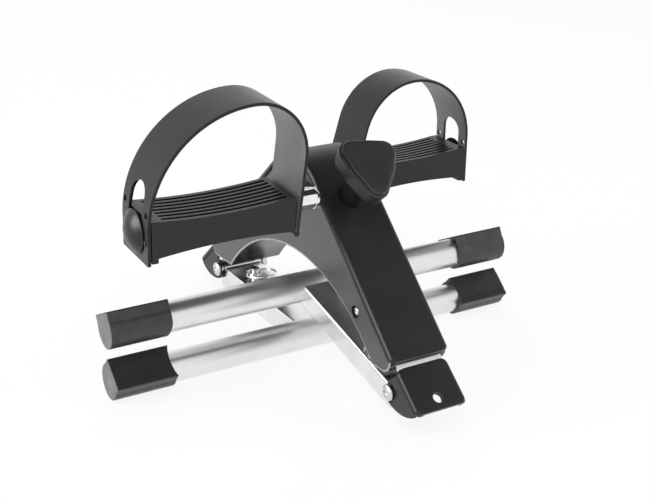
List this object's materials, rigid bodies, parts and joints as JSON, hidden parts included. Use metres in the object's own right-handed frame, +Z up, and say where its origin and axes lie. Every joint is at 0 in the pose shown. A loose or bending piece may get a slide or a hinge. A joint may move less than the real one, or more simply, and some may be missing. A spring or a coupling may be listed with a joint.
{
  "type": "folding pedal exerciser",
  "caption": "Folding floor pedal exerciser: arched plastic body on two hinged tube legs, cranks with strapped pedals and a tension knob, shown folded.",
  "frame": {"origin": "on the floor under the middle of the folded part", "axes": "+X to the right across the pedals, +Y to the back, +Z up"},
  "size_m": [0.3836, 0.3708, 0.25],
  "materials": {
    "shell_plastic": "satin, fine moulded grain",
    "cover_plastic": "matte, fine moulded grain",
    "moulded_plastic": "satin moulded",
    "strap_plastic": "flexible, satin",
    "foot_rubber": "matte",
    "tube_steel": "satin plated",
    "plated_steel": "smooth plated",
    "crank_chrome": "polished",
    "fastener_steel": "bright zinc",
    "bush_plastic": "smooth",
    "band_felt": "felt lined",
    "drum_iron": "turned",
    "nut_brass": "plain"
  },
  "bodies": {
    "housing": {"left_side_shell": "shell_plastic", "right_side_shell": "shell_plastic", "top_cover": "cover_plastic", "inner_frame": "plated_steel", "left_axle_bush": "bush_plastic", "right_axle_bush": "bush_plastic", "casing_screws": "fastener_steel", "tension_collar": "cover_plastic", "brake_band": "band_felt", "band_anchor_pin": "fastener_steel", "front_bracket": "cover_plastic", "rear_bracket": "cover_plastic", "front_hinge_bolt": "fastener_steel", "rear_hinge_bolt": "fastener_steel", "front_hinge_nut": "fastener_steel", "rear_hinge_nut": "fastener_steel"},
    "front_leg_set": {"front_leg": "plated_steel", "front_cross_tube": "tube_steel", "front_left_foot": "foot_rubber", "front_right_foot": "foot_rubber"},
    "rear_leg_set": {"rear_leg": "plated_steel", "rear_cross_tube": "tube_steel", "rear_left_foot": "foot_rubber", "rear_right_foot": "foot_rubber"},
    "front_lock": {"front_lock_pin": "fastener_steel"},
    "front_ring": {"front_pin_ring": "fastener_steel"},
    "rear_lock": {"rear_lock_pin": "fastener_steel"},
    "rear_ring": {"rear_pin_ring": "fastener_steel"},
    "crank": {"crank_axle": "fastener_steel", "brake_drum": "drum_iron", "left_crank": "crank_chrome", "right_crank": "crank_chrome", "left_crank_bolt": "fastener_steel", "right_crank_bolt": "fastener_steel", "left_pedal_spindle": "crank_chrome", "right_pedal_spindle": "crank_chrome", "left_spindle_nut": "fastener_steel", "right_spindle_nut": "fastener_steel"},
    "left_pedal_set": {"left_pedal": "moulded_plastic", "left_strap": "strap_plastic", "left_pedal_cap": "moulded_plastic"},
    "right_pedal_set": {"right_pedal": "moulded_plastic", "right_strap": "strap_plastic", "right_pedal_cap": "moulded_plastic"},
    "knob": {"tension_knob": "moulded_plastic", "tension_screw": "fastener_steel"},
    "brake_nut": {"tension_nut": "nut_brass"}
  },
  "joints": [
    {"name": "front_leg_fold", "type": "hinge", "parent": "housing", "child": "front_leg_set", "pos_m": [0, -0.146, 0.02565], "axis": [-1, 0, 0], "range_deg": [0, 154.72]},
    {"name": "rear_leg_fold", "type": "hinge", "parent": "housing", "child": "rear_leg_set", "pos_m": [0, 0.146, 0.02565], "axis": [1, 0, 0], "range_deg": [0, 138.02]},
    {"name": "crank_turn", "type": "hinge", "parent": "housing", "child": "crank", "pos_m": [0, 0, 0.14305], "axis": [1, 0, 0], "range_deg": [-40, 65]},
    {"name": "left_pedal_turn", "type": "hinge", "parent": "crank", "child": "left_pedal_set", "pos_m": [0, -0.0621, 0.15854], "axis": [1, 0, 0], "continuous": true},
    {"name": "right_pedal_turn", "type": "hinge", "parent": "crank", "child": "right_pedal_set", "pos_m": [0, 0.0621, 0.12757], "axis": [1, 0, 0], "range_deg": [-100, 100]},
    {"name": "tension_knob_turn", "type": "hinge", "parent": "housing", "child": "knob", "pos_m": [0, -0.055, 0.15131], "axis": [0, -0.6921, 0.7218], "range_deg": [-360, 360]},
    {"name": "brake_nut_slide", "type": "slide", "parent": "housing", "child": "brake_nut", "axis": [0, -0.6921, 0.7218], "range_m": [-0.0015, 0.0015]},
    {"name": "front_pin_pull", "type": "slide", "parent": "front_leg_set", "child": "front_lock", "axis": [0, -0.254, 0.9672], "range_m": [0, 0.004]},
    {"name": "front_ring_swing", "type": "hinge", "parent": "front_lock", "child": "front_ring", "pos_m": [0, -0.11645, 0.0391], "axis": [1, 0, 0], "range_deg": [-10, 20]},
    {"name": "rear_pin_pull", "type": "slide", "parent": "rear_leg_set", "child": "rear_lock", "axis": [0, -0.0346, 0.9994], "range_m": [0, 0.004]},
    {"name": "rear_ring_swing", "type": "hinge", "parent": "rear_lock", "child": "rear_ring", "pos_m": [0, 0.11383, 0.03004], "axis": [-1, 0, 0], "range_deg": [-10, 20]}
  ],
  "couplings": [
    {"joint": "rear_leg_fold", "follows": "front_leg_fold", "ratio": 0.89206},
    {"joint": "brake_nut_slide", "follows": "tension_knob_turn", "m_per_rad": -0.00023873}
  ]
}
